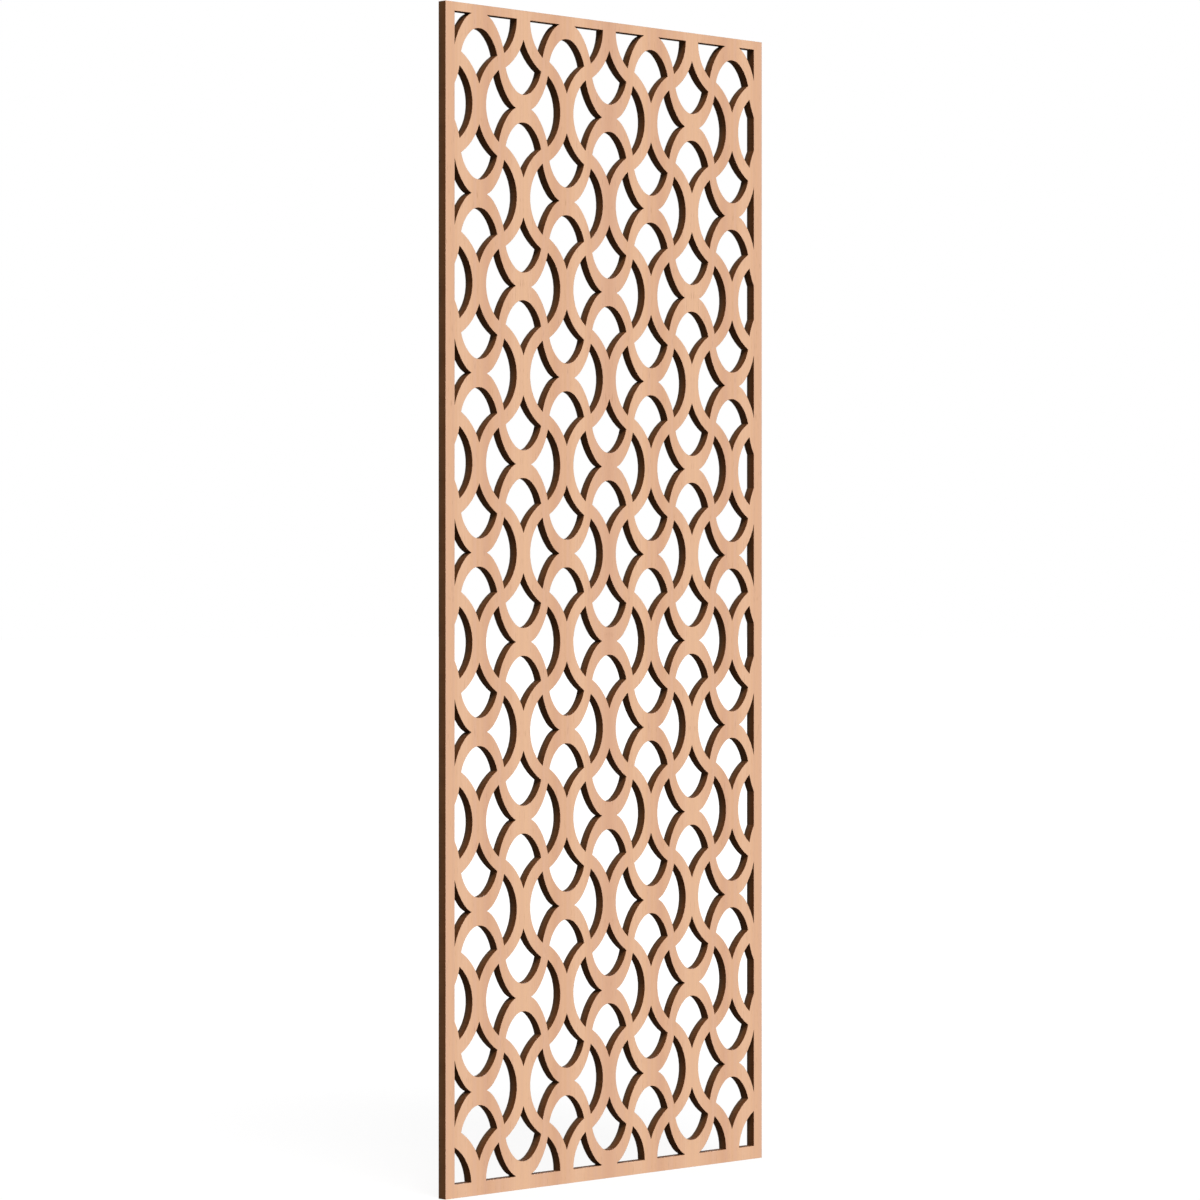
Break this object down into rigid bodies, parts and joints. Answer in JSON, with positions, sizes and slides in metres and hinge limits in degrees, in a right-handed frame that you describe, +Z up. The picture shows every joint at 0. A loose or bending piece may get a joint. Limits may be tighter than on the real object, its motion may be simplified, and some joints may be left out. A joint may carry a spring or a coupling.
{
  "type": "fretwork panel",
  "caption": "Thin upright wooden panel, cut through with an interlaced ogee trellis inside a narrow plain border, for infilling a screen, door or partition.",
  "frame": {"origin": "middle of the bottom edge, half way through the thickness", "axes": "+X across the panel to the right as seen from the front, +Y from the front face to the back face, +Z up"},
  "size_m": [0.2888, 0.0064, 0.7461],
  "materials": {
    "face_veneer": "sanded, unfinished, with upright straight grain and scorched cut edges",
    "inner_ply": "bare ply that shows only at its scorched cut edges"
  },
  "bodies": {
    "root": {"front_face_veneer": "face_veneer", "front_crossband": "inner_ply", "core_ply": "inner_ply", "rear_crossband": "inner_ply", "back_face_veneer": "face_veneer"}
  },
  "joints": []
}
